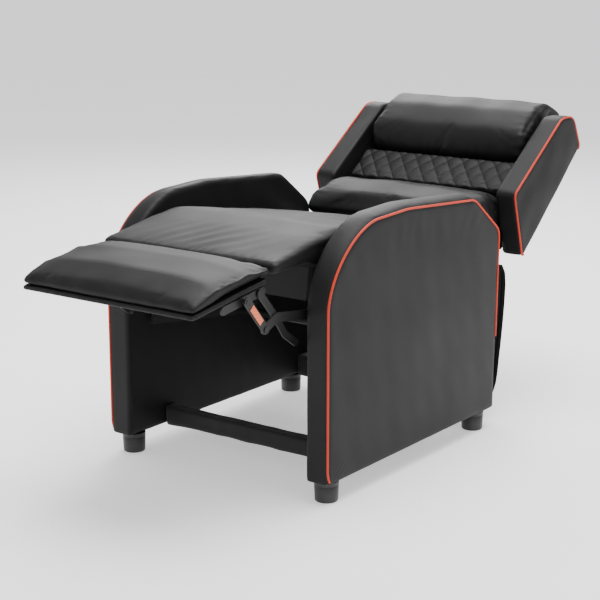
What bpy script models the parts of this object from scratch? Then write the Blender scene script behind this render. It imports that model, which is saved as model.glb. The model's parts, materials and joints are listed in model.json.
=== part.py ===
"""Push-back gaming recliner: arms, steel linkage, swinging seat, folding footrest and reclining back.

The chair stands on Z = 0 and faces -Y. It is modelled reclined, with the footrest out.
Outlines are (depth, height) pairs: depth is measured backwards from the front of the arms.
"""
import math

import bmesh
import bpy
from mathutils import Matrix, Vector

# ---- driving dimensions, in metres ----
ARM_FRONT_Y = -0.450          # where depth 0 lies, so that the footprint is centred on the origin
GAP = 0.0004                  # clearance between pieces that touch
OVERALL_HALF_WIDTH = 0.330
PIPING_RADIUS = 0.0025
PIPING_INSET = 0.0015         # the piping's centre lies this far inside the corner it covers
PIPING_CHAMFER = 0.0075       # the corner that is taken off to seat the piping

FOOT_RADIUS, FOOT_HEIGHT = 0.029, 0.050
FOOT_X, FOOT_DEPTHS = 0.294, (0.044, 0.695)

ARM_OUTER_X = OVERALL_HALF_WIDTH - PIPING_RADIUS + PIPING_INSET
ARM_INNER_X = 0.266
ARM_BOTTOM = FOOT_HEIGHT + GAP
ARM_PADDING = 0.009
ARM_NOSE_START, ARM_NOSE_END = 0.450, (0.196, 0.633)   # the curved nose of the arm, a superellipse
ARM_NOSE_POWER = 1.7

WING_INNER_X, WING_OUTER_X = 0.2568, 0.318
BACK_HALF_WIDTH = 0.2515
SEAT_HALF_WIDTH = 0.258
PAD_HALF_WIDTH = 0.255
BOARD_HALF_WIDTH = 0.247
FRAME_HALF_WIDTH = 0.232
RAIL_THICKNESS = 0.022

# The steel straps lie side by side in layers, listed from the arm inwards.
STRAP = 0.0038
LAYER_BASE, LAYER_SWING, LAYER_SEAT = 0.2616, 0.2570, 0.2524
LAYER_MAIN, LAYER_CROSS, LAYER_BRACKET = 0.2478, 0.2432, 0.2386

# Pivots, as (depth, height), with the chair reclined and the footrest out.
BACK_PIVOT = (0.710, 0.335)
BACK_SWING = math.radians(40.0)             # from reclined to upright
SEAT_TRAVEL = (0.040, -0.085)               # how the seat moves as the back comes upright
SWING_LENGTH = 0.150
FRONT_SEAT_PIVOT, REAR_SEAT_PIVOT = (0.200, 0.440), (0.520, 0.400)
BACK_DRIVE_PIVOT = (0.700, 0.275)
DRIVE_REACH = 0.100
FOOTREST_PIVOT = (0.045, 0.545)
MAIN_LINK_PIVOT = (0.0599, 0.4280)
MAIN_LINK_FRONT = (-0.1270, 0.4292)
CROSS_PIVOT = (-0.0803, 0.4469)
CROSS_TAIL = (-0.0070, 0.3740)
BRACKET_REAR_PIVOT, BRACKET_FRONT_PIVOT = (-0.135, 0.509), (-0.189, 0.502)

SPRING_WIRE_RADIUS = 0.0018
SPRING_XS = (-0.13, 0.0, 0.13)
SIDES = (("left", -1), ("right", 1))

# ---- outlines and placings of the smaller pieces: (depth, height) or (depth, height, corner radius) ----
PIPING_TAIL_HEIGHT = 0.24     # where the arm's piping ends on its rear edge
ARM_REAR = ((0.196, 0.633, 0), (0.320, 0.638, 0.30), (0.624, 0.617, 0.06), (0.752, 0.522, 0.04),
            (0.745, ARM_BOTTOM, 0))
WING = ((0.893, 0.425, 0.010), (0.843, 0.596, 0.020), (1.095, 0.772, 0.060), (1.163, 0.772, 0.045),
        (1.209, 0.682, 0.015))
PIN_RADIUS, HEAD_RADIUS = 0.005, 0.008
LAYER_CLEAR = LAYER_SWING - LAYER_SEAT - STRAP - GAP
FRONT_RAIL = ((0.135, ARM_BOTTOM, 0.003), (0.135, 0.095, 0.003), (0.170, 0.095, 0.003), (0.170, ARM_BOTTOM, 0.003))
REAR_RAIL = ((0.690, ARM_BOTTOM, 0.003), (0.690, 0.105, 0.003), (0.725, 0.105, 0.003), (0.725, ARM_BOTTOM, 0.003))
SKIRT_LINE = ((0.7565, 0.0600), (0.8080, 0.0700), (0.8302, 0.1252), (0.8489, 0.2583), (0.8593, 0.3514),
              (0.8541, 0.3901), (0.8390, 0.4060))      # it hangs slack with the back reclined
SKIRT_THICKNESS, SKIRT_HALF_WIDTH = 0.003, 0.290
DECK_FRONT, DECK_SLOPE = (0.058, 0.531), 7.55
SEAT_BOX_LENGTH, RAIL_DEPTH = 0.600, 0.075
SEAT_CUSHION = ((0.054, 0.5325, 0.004), (0.054, 0.594, 0.020), (0.150, 0.607, 0.080), (0.656, 0.5214, 0.012),
                (0.644, 0.4565, 0.004))
CHAISE_PAD = ((0.046, 0.5490, 0.003), (-0.092, 0.5400, 0.004), (-0.092, 0.5635, 0.006), (0.049, 0.590, 0.006))
FOOTREST_PAD = ((-0.098, 0.5405, 0.004), (-0.355, 0.5050, 0.003), (-0.265, 0.5490, 0.060), (-0.170, 0.5640, 0.060),
                (-0.097, 0.5600, 0.006))
FOOTREST_BOARD = ((-0.102, 0.5380, 0.004), (-0.102, 0.5260, 0.004), (-0.358, 0.4900, 0.004), (-0.358, 0.5020, 0.004))
BRACKET_PATH = ((-0.120, 0.511), BRACKET_REAR_PIVOT, BRACKET_FRONT_PIVOT, (-0.252, 0.4930))
BUMPER_X, BUMPER_AT = 0.222, (-0.226, 0.5000)
LABEL_HALF_WIDTH, LABEL_THICKNESS = 0.0075, 0.0006
BACK_FOOT, BACK_SLOPE = (0.893, 0.426), 39.0
BRACKET_LINE = (BACK_DRIVE_PIVOT, BACK_PIVOT, (0.780, 0.405), (0.905, 0.490))
CUSHION_HALF_WIDTH = 0.2505
LUMBAR = ((0.760, 0.4835, 0.020), (0.692, 0.522, 0.012), (0.735, 0.572, 0.050), (0.820, 0.598, 0.060),
          (0.908, 0.588, 0.020), (0.948, 0.532, 0.010), (0.868, 0.470, 0.010), (0.810, 0.466, 0.020))
QUILTED = ((0.951, 0.5345, 0.006), (0.912, 0.589, 0.010), (1.004, 0.657, 0.010), (1.046, 0.611, 0.006))
PILLOW = ((1.049, 0.6135, 0.006), (1.007, 0.662, 0.020), (1.008, 0.722, 0.025), (1.085, 0.786, 0.060),
          (1.160, 0.812, 0.060), (1.262, 0.768, 0.020), (1.248, 0.714, 0.020), (1.165, 0.707, 0.010))

# Half widths of the steel straps.
BASE_PLATE_HALF, SWING_LINK_HALF, SEAT_PLATE_HALF, BACK_BRACKET_HALF = 0.018, 0.014, 0.017, 0.017
MAIN_LINK_HALF, CROSS_LINK_HALF, FRONT_LINK_HALF, DRIVE_LINK_HALF = 0.0105, 0.0085, 0.0105, 0.011
FOOT_BRACKET_HALF, TUBE_RADIUS = 0.0095, 0.010
CROSS_LINK_KNEE = (-0.048, 0.402)
LABEL_SPAN = (0.26, 0.80)                   # where the label starts and ends along the front link
BUMPER_RADII, BUMPER_LENGTH, BUMPER_TILT = (0.006, 0.008), 0.013, -8.0
SPRING_WAVES, SPRING_SWAY, SPRING_DROP, SPRING_END_GAP = 7, 0.018, 0.012, 0.004

# The back's boards, as (low, high) along its slope and (near, far) forward of its rear face.
POST_SPAN, POST_WIDTH, TOP_RAIL_SPAN, BOARD_FACES = (0.030, 0.368), 0.030, (0.370, 0.392), (0.008, 0.042)
PANEL_SPAN, PANEL_FACES = (0.010, 0.398), (0.0, 0.006)
CUSHION_RIM, CHAISE_RIM = 0.008, 0.006

# colour, roughness, metallic
FINISHES = {
    "leather": ((0.030, 0.030, 0.032), 0.45, 0.0),
    "piping": ((0.62, 0.085, 0.055), 0.45, 0.0),
    "nonwoven": ((0.015, 0.015, 0.016), 0.85, 0.0),
    "wood": ((0.42, 0.29, 0.17), 0.65, 0.0),
    "steel": ((0.022, 0.022, 0.024), 0.38, 0.9),
    "spring_wire": ((0.30, 0.30, 0.31), 0.35, 1.0),
    "plastic": ((0.012, 0.012, 0.013), 0.40, 0.0),
    "rubber": ((0.020, 0.020, 0.020), 0.80, 0.0),
    "label": ((0.80, 0.22, 0.07), 0.55, 0.0),
}


def clear_scene():
    for item in list(bpy.data.objects):
        bpy.data.objects.remove(item, do_unlink=True)


def finish(item, finish_name):
    """Give a piece its own Principled material."""
    colour, roughness, metallic = FINISHES[finish_name]
    material = bpy.data.materials.new(item.name + "_" + finish_name)
    material.use_nodes = True
    shader = material.node_tree.nodes["Principled BSDF"]
    shader.inputs["Base Color"].default_value = (*colour, 1.0)
    shader.inputs["Roughness"].default_value = roughness
    shader.inputs["Metallic"].default_value = metallic
    item.data.materials.append(material)
    return item


def make_object(name, shape, finish_name):
    """Turn a bmesh into a named, finished object."""
    mesh = bpy.data.meshes.new(name)
    bmesh.ops.recalc_face_normals(shape, faces=shape.faces)
    shape.to_mesh(mesh)
    shape.free()
    item = bpy.data.objects.new(name, mesh)
    bpy.context.collection.objects.link(item)
    return finish(item, finish_name)


def pivot_empty(name, pivot, parent=None):
    """An empty on a joint's axis, which carries the pieces that turn about it."""
    empty = bpy.data.objects.new(name, None)
    empty.location = (0, ARM_FRONT_Y + pivot[0], pivot[1])
    bpy.context.collection.objects.link(empty)
    if parent:
        attach(empty, parent)
    return empty


def attach(item, parent):
    """Parent a piece and keep it where it was modelled."""
    bpy.context.view_layer.update()
    item.parent = parent
    item.matrix_parent_inverse = parent.matrix_world.inverted()
    return item


def arc_point(centre, radius, angle):
    return (centre[0] + radius * math.cos(angle), centre[1] + radius * math.sin(angle))


def rounded(corners, steps=5):
    """Round the corners of an outline. Each corner is (depth, height, radius)."""
    outline = []
    count = len(corners)
    for i, (depth, height, radius) in enumerate(corners):
        here = Vector((depth, height))
        before = (Vector(corners[i - 1][:2]) - here).normalized()
        after = (Vector(corners[(i + 1) % count][:2]) - here).normalized()
        if radius == 0:
            outline.append((depth, height))
            continue
        half = before.angle(after) / 2
        reach = radius / math.tan(half)
        centre = here + (before + after).normalized() * (radius / math.sin(half))
        start = here + before * reach - centre
        turn = (here + after * reach - centre)
        sweep = math.atan2(start.x * turn.y - start.y * turn.x, start.dot(turn))
        first = math.atan2(start.y, start.x)
        for k in range(steps + 1):
            outline.append(arc_point(centre, radius, first + sweep * k / steps))
    return outline


def strap_outline(points, half_width, steps=6):
    """The outline of a steel strap with round ends that follows the given points."""
    path = [Vector(p) for p in points]
    left, right = [], []
    for i, point in enumerate(path):
        ahead = (path[min(i + 1, len(path) - 1)] - point)
        behind = (point - path[max(i - 1, 0)])
        ahead = ahead if ahead.length else behind
        behind = behind if behind.length else ahead
        ahead, behind = ahead.normalized(), behind.normalized()
        along = (ahead + behind).normalized()
        side = Vector((-along.y, along.x)) * half_width / max(0.5, along.dot(ahead))
        left.append(point + side)
        right.append(point - side)
    outline = [tuple(p) for p in left[1:-1]]
    end = math.atan2(*reversed((left[-1] - path[-1])))
    outline += [arc_point(path[-1], half_width, end - math.pi * k / steps) for k in range(steps + 1)]
    outline += [tuple(p) for p in reversed(right[1:-1])]
    start = math.atan2(*reversed((right[0] - path[0])))
    outline += [arc_point(path[0], half_width, start - math.pi * k / steps) for k in range(steps + 1)]
    return outline


def slab(outline, x_low, x_high):
    """A bmesh: an outline of (depth, height) points extruded across X."""
    shape = bmesh.new()
    corners = [shape.verts.new((x_low, ARM_FRONT_Y + depth, height)) for depth, height in outline]
    face = shape.faces.new(corners)
    grown = bmesh.ops.extrude_face_region(shape, geom=[face])
    moved = [v for v in grown["geom"] if isinstance(v, bmesh.types.BMVert)]
    bmesh.ops.translate(shape, verts=moved, vec=(x_high - x_low, 0, 0))
    return shape


def add_slab(name, outline, x_low, x_high, finish_name, bevel=0.0, segments=2):
    """A slab as an object, with rounded rims where it is padded."""
    item = make_object(name, slab(outline, min(x_low, x_high), max(x_low, x_high)), finish_name)
    if bevel:
        edge = item.modifiers.new("rims", "BEVEL")
        edge.width = bevel
        edge.segments = segments
        edge.limit_method = "ANGLE"
        edge.angle_limit = math.radians(50)
    return item


def across(shape, centre, radius, x_low, x_high, sides=16):
    """Add a cylinder to a bmesh whose axis runs along X through a (depth, height) point."""
    middle = Vector(((x_low + x_high) / 2, ARM_FRONT_Y + centre[0], centre[1]))
    bmesh.ops.create_cone(
        shape, cap_ends=True, segments=sides, radius1=radius, radius2=radius,
        depth=abs(x_high - x_low),
        matrix=Matrix.Translation(middle) @ Matrix.Rotation(math.pi / 2, 4, "Y"))


def boolean(item, cutter_shape, operation):
    """Join or cut a piece with a hidden helper object."""
    helper = make_object(item.name + "_helper", cutter_shape, "steel")
    helper.hide_render = True
    helper.display_type = "WIRE"
    change = item.modifiers.new("shape", "BOOLEAN")
    change.operation = operation
    change.solver = "EXACT"
    change.object = helper
    return item


def add_strap(name, points, half_width, layer, side, pins=()):
    """A flat steel link. Each pin is (pivot, radius, inner reach, outer reach) past its faces."""
    item = add_slab(name, strap_outline(points, half_width), side * layer, side * (layer + STRAP), "steel")
    if pins:
        rivets = bmesh.new()
        middle = layer + STRAP / 2
        for pivot, radius, inner, outer in pins:
            start = layer - inner if inner else middle
            end = layer + STRAP + outer if outer else middle
            across(rivets, pivot, radius, side * start, side * end)
        boolean(item, rivets, "UNION")
    return item


def add_piping(name, outline, x):
    """A round corded edge that follows an outline in the plane at x."""
    curve = bpy.data.curves.new(name, "CURVE")
    curve.dimensions = "3D"
    curve.bevel_depth = PIPING_RADIUS
    curve.bevel_resolution = 1
    curve.use_fill_caps = True
    spline = curve.splines.new("POLY")
    spline.points.add(len(outline) - 1)
    for point, (depth, height) in zip(spline.points, outline):
        point.co = (x, ARM_FRONT_Y + depth, height, 1)
    item = bpy.data.objects.new(name, curve)
    bpy.context.collection.objects.link(item)
    return finish(item, "piping")


def inset(outline, distance):
    """Move an outline inwards by a distance. The outline runs with its inside on the right."""
    moved = []
    count = len(outline)
    for i, point in enumerate(outline):
        here = Vector(point)
        behind = (here - Vector(outline[i - 1])).normalized()
        ahead = (Vector(outline[(i + 1) % count]) - here).normalized()
        along = (behind + ahead).normalized()
        moved.append(tuple(here + Vector((along.y, -along.x)) * distance / max(0.5, along.dot(ahead))))
    return moved


def nose_curve(steps=12):
    """The arm's nose, from the front edge up and over to its top."""
    depth_end, height_end = ARM_NOSE_END
    rise = height_end - ARM_NOSE_START
    points = []
    for k in range(steps + 1):
        angle = math.pi / 2 * k / steps
        back = depth_end * (1 - math.cos(angle) ** (2 / ARM_NOSE_POWER))
        up = ARM_NOSE_START + rise * math.sin(angle) ** (2 / ARM_NOSE_POWER)
        points.append((back, up))
    return points


def arm_outline():
    """The arm's side, clockwise from the bottom of its front edge."""
    return [(0.0, ARM_BOTTOM)] + nose_curve() + rounded(ARM_REAR)[1:]


def rimmed_slab(outline, side, inner_x, outer_x):
    """A slab whose outer rim is chamfered to seat the piping."""
    shape = slab(outline, min(side * inner_x, side * outer_x), max(side * inner_x, side * outer_x))
    rim = [e for e in shape.edges if all(abs(v.co.x - side * outer_x) < 1e-5 for v in e.verts)]
    bmesh.ops.bevel(shape, geom=rim, offset=PIPING_CHAMFER, offset_type="OFFSET", segments=1,
                    profile=0.5, affect="EDGES", material=-1)
    return shape


def build_arm(name, side):
    """A wooden arm panel in a padded leather cover, open underneath, with piping on its outer rim."""
    outline = arm_outline()
    core = inset(outline, ARM_PADDING)
    core = [(depth, ARM_BOTTOM + GAP if height < ARM_BOTTOM + 0.02 else height) for depth, height in core]
    pocket = inset(core, -GAP)
    pocket = [(depth, ARM_BOTTOM - 0.01 if height < ARM_BOTTOM + 0.02 else height)
              for depth, height in pocket]
    inner, outer = ARM_INNER_X + ARM_PADDING, ARM_OUTER_X - ARM_PADDING
    add_slab(name + "_arm_frame", core, side * inner, side * outer, "wood")
    cover = make_object(name + "_arm_cover", rimmed_slab(outline, side, ARM_INNER_X, ARM_OUTER_X), "leather")
    x_low, x_high = sorted((side * (inner - GAP), side * (outer + GAP)))
    boolean(cover, slab(pocket, x_low, x_high), "DIFFERENCE")
    line = inset(outline, PIPING_INSET)
    line[0] = (line[0][0], ARM_BOTTOM + PIPING_RADIUS)
    above, below = Vector(line[-2]), Vector(line[-1])
    line[-1] = tuple(above.lerp(below, (above.y - PIPING_TAIL_HEIGHT) / (above.y - below.y)))
    add_piping(name + "_arm_piping", line, side * (ARM_OUTER_X - PIPING_INSET))


def build_feet():
    for name, side in SIDES:
        for place, depth in zip(("front", "rear"), FOOT_DEPTHS):
            foot = bmesh.new()
            bmesh.ops.create_cone(
                foot, cap_ends=True, segments=32, radius1=FOOT_RADIUS, radius2=FOOT_RADIUS, depth=FOOT_HEIGHT,
                matrix=Matrix.Translation((side * FOOT_X, ARM_FRONT_Y + depth, FOOT_HEIGHT / 2)))
            item = make_object(f"{name}_{place}_foot", foot, "plastic")
            item.data.shade_smooth()
            item.data.set_sharp_from_angle(angle=math.radians(40))


def build_base():
    """The fixed parts: arms, feet, cross rails, base plates and the cloth skirt at the rear."""
    for name, side in SIDES:
        build_arm(name, side)
        add_strap(name + "_base_plate", (swing_foot(FRONT_SEAT_PIVOT), swing_foot(REAR_SEAT_PIVOT), BACK_PIVOT),
                  BASE_PLATE_HALF, LAYER_BASE, side)
    build_feet()
    reach = ARM_INNER_X - GAP
    add_slab("front_rail", rounded(FRONT_RAIL, 3), -reach, reach, "nonwoven")
    add_slab("rear_rail", rounded(REAR_RAIL, 3), -reach, reach, "nonwoven")
    add_slab("rear_skirt", strap_outline(SKIRT_LINE, SKIRT_THICKNESS / 2, 2), -SKIRT_HALF_WIDTH,
             SKIRT_HALF_WIDTH, "nonwoven")


def swing_angles():
    """The swing links' angle above horizontal when reclined, and how far they turn to upright."""
    travel = Vector(SEAT_TRAVEL)
    turn = 2 * math.asin(travel.length / (2 * SWING_LENGTH))
    middle = math.atan2(travel.y, travel.x) + math.pi / 2
    return middle + turn / 2, turn


def swing_foot(seat_pivot):
    """The fixed lower pivot of a swing link, from its pivot on the seat."""
    angle = swing_angles()[0]
    return (seat_pivot[0] - SWING_LENGTH * math.cos(angle), seat_pivot[1] - SWING_LENGTH * math.sin(angle))


def turned(point, pivot, angle):
    """A (depth, height) point turned about a pivot, positive about +X."""
    offset = Matrix.Rotation(angle, 2) @ (Vector(point) - Vector(pivot))
    return (pivot[0] + offset.x, pivot[1] + offset.y)


def drive_seat_pivot():
    """The pivot on the seat that keeps the drive link's length the same, reclined and upright."""
    moved = turned(BACK_DRIVE_PIVOT, BACK_PIVOT, BACK_SWING)
    apart = Vector(SEAT_TRAVEL) - (Vector(moved) - Vector(BACK_DRIVE_PIVOT))
    rise = (-apart.length_squared / 2 + DRIVE_REACH * apart.x) / apart.y
    return (BACK_DRIVE_PIVOT[0] - DRIVE_REACH, BACK_DRIVE_PIVOT[1] + rise)


def build_swing(front_pivot, rear_pivot):
    """Two pairs of swing links of one length, which carry the seat and keep its slope."""
    for place, seat_pivot, parent in (("front", FRONT_SEAT_PIVOT, front_pivot),
                                      ("rear", REAR_SEAT_PIVOT, rear_pivot)):
        for name, side in SIDES:
            foot = swing_foot(seat_pivot)
            pins = ((foot, PIN_RADIUS, 0, LAYER_CLEAR), (seat_pivot, PIN_RADIUS, LAYER_CLEAR, 0))
            attach(add_strap(f"{name}_{place}_swing_link", (foot, seat_pivot), SWING_LINK_HALF, LAYER_SWING,
                             side, pins), parent)
    tube = bmesh.new()
    across(tube, swing_foot(REAR_SEAT_PIVOT), TUBE_RADIUS, -(LAYER_SWING - GAP), LAYER_SWING - GAP, 20)
    attach(make_object("torque_tube", tube, "steel"), rear_pivot)


def build_seat(parent):
    """The seat: steel side plates, a wooden box of four rails, sinuous springs and the cushion."""
    for name, side in SIDES:
        path = (MAIN_LINK_PIVOT, FRONT_SEAT_PIVOT, REAR_SEAT_PIVOT, drive_seat_pivot())
        attach(add_strap(name + "_seat_plate", path, SEAT_PLATE_HALF, LAYER_SEAT, side), parent)
        attach(add_slab(name + "_seat_rail", deck_band(RAIL_THICKNESS + GAP, SEAT_BOX_LENGTH - RAIL_THICKNESS - GAP),
                        side * (FRAME_HALF_WIDTH - RAIL_THICKNESS), side * FRAME_HALF_WIDTH, "wood"), parent)
    for name, start in (("seat_front_rail", 0.0), ("seat_rear_rail", SEAT_BOX_LENGTH - RAIL_THICKNESS)):
        attach(add_slab(name, deck_band(start, start + RAIL_THICKNESS), -FRAME_HALF_WIDTH, FRAME_HALF_WIDTH,
                        "nonwoven" if start == 0.0 else "wood"), parent)
    for number, x in enumerate(SPRING_XS, 1):
        attach(build_spring(f"seat_spring_{number}", x), parent)
    attach(add_slab("seat_cushion", rounded(SEAT_CUSHION, 4), -SEAT_HALF_WIDTH, SEAT_HALF_WIDTH, "leather",
                    CUSHION_RIM), parent)


def deck_point(along, below):
    """A point of the seat's sloping deck: a distance back from its front edge, and below its top."""
    slope = math.radians(DECK_SLOPE)
    return (DECK_FRONT[0] + along * math.cos(slope) - below * math.sin(slope),
            DECK_FRONT[1] - along * math.sin(slope) - below * math.cos(slope))


def deck_band(start, end):
    return [deck_point(start, 0), deck_point(end, 0), deck_point(end, RAIL_DEPTH), deck_point(start, RAIL_DEPTH)]


def build_spring(name, x):
    """A sinuous spring that runs from the front rail to the rear rail, just under the deck."""
    curve = bpy.data.curves.new(name, "CURVE")
    curve.dimensions = "3D"
    curve.bevel_depth = SPRING_WIRE_RADIUS
    curve.bevel_resolution = 1
    curve.use_fill_caps = True
    first, last = RAIL_THICKNESS + SPRING_END_GAP, SEAT_BOX_LENGTH - RAIL_THICKNESS - SPRING_END_GAP
    steps = 60
    spline = curve.splines.new("POLY")
    spline.points.add(steps)
    for k, point in enumerate(spline.points):
        t = k / steps
        depth, height = deck_point(first + (last - first) * t, SPRING_DROP)
        point.co = (x + SPRING_SWAY * math.sin(2 * math.pi * SPRING_WAVES * t), ARM_FRONT_Y + depth, height, 1)
    item = bpy.data.objects.new(name, curve)
    bpy.context.collection.objects.link(item)
    return finish(item, "spring_wire")


def build_footrest(parent):
    """The hinged chaise pad, and the footrest pad on its wrapped board, with steel brackets below."""
    attach(add_slab("chaise_pad", rounded(CHAISE_PAD, 3), -PAD_HALF_WIDTH, PAD_HALF_WIDTH, "leather",
                    CHAISE_RIM), parent)
    attach(add_slab("footrest_pad", rounded(FOOTREST_PAD, 4), -PAD_HALF_WIDTH, PAD_HALF_WIDTH, "leather",
                    CUSHION_RIM), parent)
    attach(add_slab("footrest_board", rounded(FOOTREST_BOARD, 3), -BOARD_HALF_WIDTH, BOARD_HALF_WIDTH, "leather"),
           parent)
    for name, side in SIDES:
        pins = ((BRACKET_REAR_PIVOT, PIN_RADIUS, 0, LAYER_CLEAR),)
        attach(add_strap(name + "_footrest_bracket", BRACKET_PATH, FOOT_BRACKET_HALF, LAYER_BRACKET, side,
                         pins), parent)
        bumper = bmesh.new()
        place = Vector((side * BUMPER_X, ARM_FRONT_Y + BUMPER_AT[0], BUMPER_AT[1]))
        bmesh.ops.create_cone(bumper, cap_ends=True, segments=20, radius1=BUMPER_RADII[0],
                              radius2=BUMPER_RADII[1], depth=BUMPER_LENGTH,
                              matrix=Matrix.Translation(place) @ Matrix.Rotation(math.radians(BUMPER_TILT), 4, "X"))
        attach(make_object(name + "_bumper", bumper, "rubber"), parent)


def build_ottoman_links(main, cross, front):
    """The scissor links on each side that push the footrest out and fold it away."""
    for name, side in SIDES:
        pins = ((MAIN_LINK_PIVOT, PIN_RADIUS, 0, LAYER_CLEAR), (CROSS_PIVOT, PIN_RADIUS, LAYER_CLEAR, 0),
                (MAIN_LINK_FRONT, PIN_RADIUS, 0, LAYER_CLEAR))
        attach(add_strap(name + "_main_link", (MAIN_LINK_PIVOT, CROSS_PIVOT, MAIN_LINK_FRONT), MAIN_LINK_HALF,
                         LAYER_MAIN, side, pins), main)
        attach(add_strap(name + "_cross_link", (CROSS_TAIL, CROSS_LINK_KNEE, CROSS_PIVOT, BRACKET_REAR_PIVOT),
                         CROSS_LINK_HALF, LAYER_CROSS, side), cross)
        reach = LAYER_SEAT - LAYER_BRACKET - STRAP - GAP
        pins = ((BRACKET_FRONT_PIVOT, PIN_RADIUS, reach, 0.001), (MAIN_LINK_FRONT, HEAD_RADIUS, 0, 0.0022))
        attach(add_strap(name + "_front_link", (MAIN_LINK_FRONT, BRACKET_FRONT_PIVOT), FRONT_LINK_HALF, LAYER_SEAT,
                         side, pins), front)
    along = Vector(BRACKET_FRONT_PIVOT) - Vector(MAIN_LINK_FRONT)
    ends = [tuple(Vector(MAIN_LINK_FRONT) + along * part) for part in LABEL_SPAN]
    across_way = Vector((-along.y, along.x)).normalized() * LABEL_HALF_WIDTH
    corners = [tuple(Vector(end) + across_way * way) for end, way in
               ((ends[0], -1), (ends[0], 1), (ends[1], 1), (ends[1], -1))]
    face = LAYER_SEAT + STRAP + GAP
    attach(add_slab("warning_label", corners, face, face + LABEL_THICKNESS, "label"), front)


def back_point(up, forward):
    """A point of the back: up along its rear face, and forward of it."""
    angle = math.radians(BACK_SLOPE)
    return (BACK_FOOT[0] + up * math.cos(angle) - forward * math.sin(angle),
            BACK_FOOT[1] + up * math.sin(angle) + forward * math.cos(angle))


def back_band(low, high, near, far):
    return [back_point(low, near), back_point(low, far), back_point(high, far), back_point(high, near)]


def build_back(parent, drive):
    """The reclining back: posts and top rail, brackets, wings with piping, rear panel and cushions."""
    for name, side in SIDES:
        attach(add_slab(name + "_back_post", back_band(*POST_SPAN, *BOARD_FACES),
                        side * (BACK_HALF_WIDTH - POST_WIDTH), side * BACK_HALF_WIDTH, "wood"), parent)
        pins = ((BACK_PIVOT, PIN_RADIUS, 0, LAYER_BASE - LAYER_SEAT - STRAP - GAP),)
        attach(add_strap(name + "_back_bracket", BRACKET_LINE, BACK_BRACKET_HALF, LAYER_SEAT, side, pins), parent)
        outline = rounded(WING)
        attach(make_object(name + "_wing", rimmed_slab(outline, side, WING_INNER_X, WING_OUTER_X), "leather"),
               parent)
        line = inset(outline, PIPING_INSET)
        attach(add_piping(name + "_wing_piping", line, side * (WING_OUTER_X - PIPING_INSET)), parent)
        pins = ((BACK_DRIVE_PIVOT, PIN_RADIUS, 0, LAYER_CLEAR), (drive_seat_pivot(), PIN_RADIUS, 0, LAYER_CLEAR))
        attach(add_strap(name + "_drive_link", (BACK_DRIVE_PIVOT, drive_seat_pivot()), DRIVE_LINK_HALF, LAYER_MAIN,
                         side, pins), drive)
    attach(add_slab("back_top_rail", back_band(*TOP_RAIL_SPAN, *BOARD_FACES), -BACK_HALF_WIDTH, BACK_HALF_WIDTH,
                    "wood"), parent)
    attach(add_slab("rear_panel", back_band(*PANEL_SPAN, *PANEL_FACES), -BACK_HALF_WIDTH, BACK_HALF_WIDTH,
                    "nonwoven"), parent)
    for name, outline in (("lumbar_cushion", LUMBAR), ("quilted_panel", QUILTED), ("head_pillow", PILLOW)):
        attach(add_slab(name, rounded(outline, 4), -CUSHION_HALF_WIDTH, CUSHION_HALF_WIDTH, "leather",
                        CUSHION_RIM), parent)


clear_scene()
front_swing = pivot_empty("front_swing_axis", swing_foot(FRONT_SEAT_PIVOT))
rear_swing = pivot_empty("rear_swing_axis", swing_foot(REAR_SEAT_PIVOT))
seat_axis = pivot_empty("seat_axis", FRONT_SEAT_PIVOT, front_swing)
footrest_axis = pivot_empty("footrest_axis", FOOTREST_PIVOT, seat_axis)
main_axis = pivot_empty("main_link_axis", MAIN_LINK_PIVOT, seat_axis)
cross_axis = pivot_empty("cross_link_axis", CROSS_PIVOT, main_axis)
front_link_axis = pivot_empty("front_link_axis", MAIN_LINK_FRONT, main_axis)
back_axis = pivot_empty("back_axis", BACK_PIVOT)
drive_axis = pivot_empty("drive_axis", BACK_DRIVE_PIVOT, back_axis)
build_base()
build_swing(front_swing, rear_swing)
build_seat(seat_axis)
build_footrest(footrest_axis)
build_ottoman_links(main_axis, cross_axis, front_link_axis)
build_back(back_axis, drive_axis)
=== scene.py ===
import json
import math

import bmesh
import bpy
import numpy as np
from mathutils import Matrix, Vector


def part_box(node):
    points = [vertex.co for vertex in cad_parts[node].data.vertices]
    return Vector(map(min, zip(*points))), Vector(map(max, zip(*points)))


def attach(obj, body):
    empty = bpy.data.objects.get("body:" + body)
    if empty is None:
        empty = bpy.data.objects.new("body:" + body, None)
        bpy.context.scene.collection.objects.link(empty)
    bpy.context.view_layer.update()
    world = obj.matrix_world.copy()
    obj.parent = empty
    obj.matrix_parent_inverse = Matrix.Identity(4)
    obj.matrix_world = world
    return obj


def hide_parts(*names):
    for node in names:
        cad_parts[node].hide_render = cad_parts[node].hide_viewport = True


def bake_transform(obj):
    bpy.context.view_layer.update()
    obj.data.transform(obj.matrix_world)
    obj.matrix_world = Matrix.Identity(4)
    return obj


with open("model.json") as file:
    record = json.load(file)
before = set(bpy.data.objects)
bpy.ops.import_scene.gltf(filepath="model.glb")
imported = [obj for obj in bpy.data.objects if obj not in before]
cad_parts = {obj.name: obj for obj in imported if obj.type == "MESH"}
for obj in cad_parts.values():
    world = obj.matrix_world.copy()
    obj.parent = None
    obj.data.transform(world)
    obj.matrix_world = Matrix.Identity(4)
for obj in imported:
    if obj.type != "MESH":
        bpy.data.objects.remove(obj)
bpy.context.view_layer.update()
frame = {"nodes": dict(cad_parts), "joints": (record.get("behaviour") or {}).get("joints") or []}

# ---- The room: camera, floor and soft light ----
# A long lens looks down on the chair from its front left corner. A pale floor and large
# soft lights stand in for a studio.
arm_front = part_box("left_arm_cover")[0][1]
half_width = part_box("right_arm_cover")[1][0]

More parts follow.
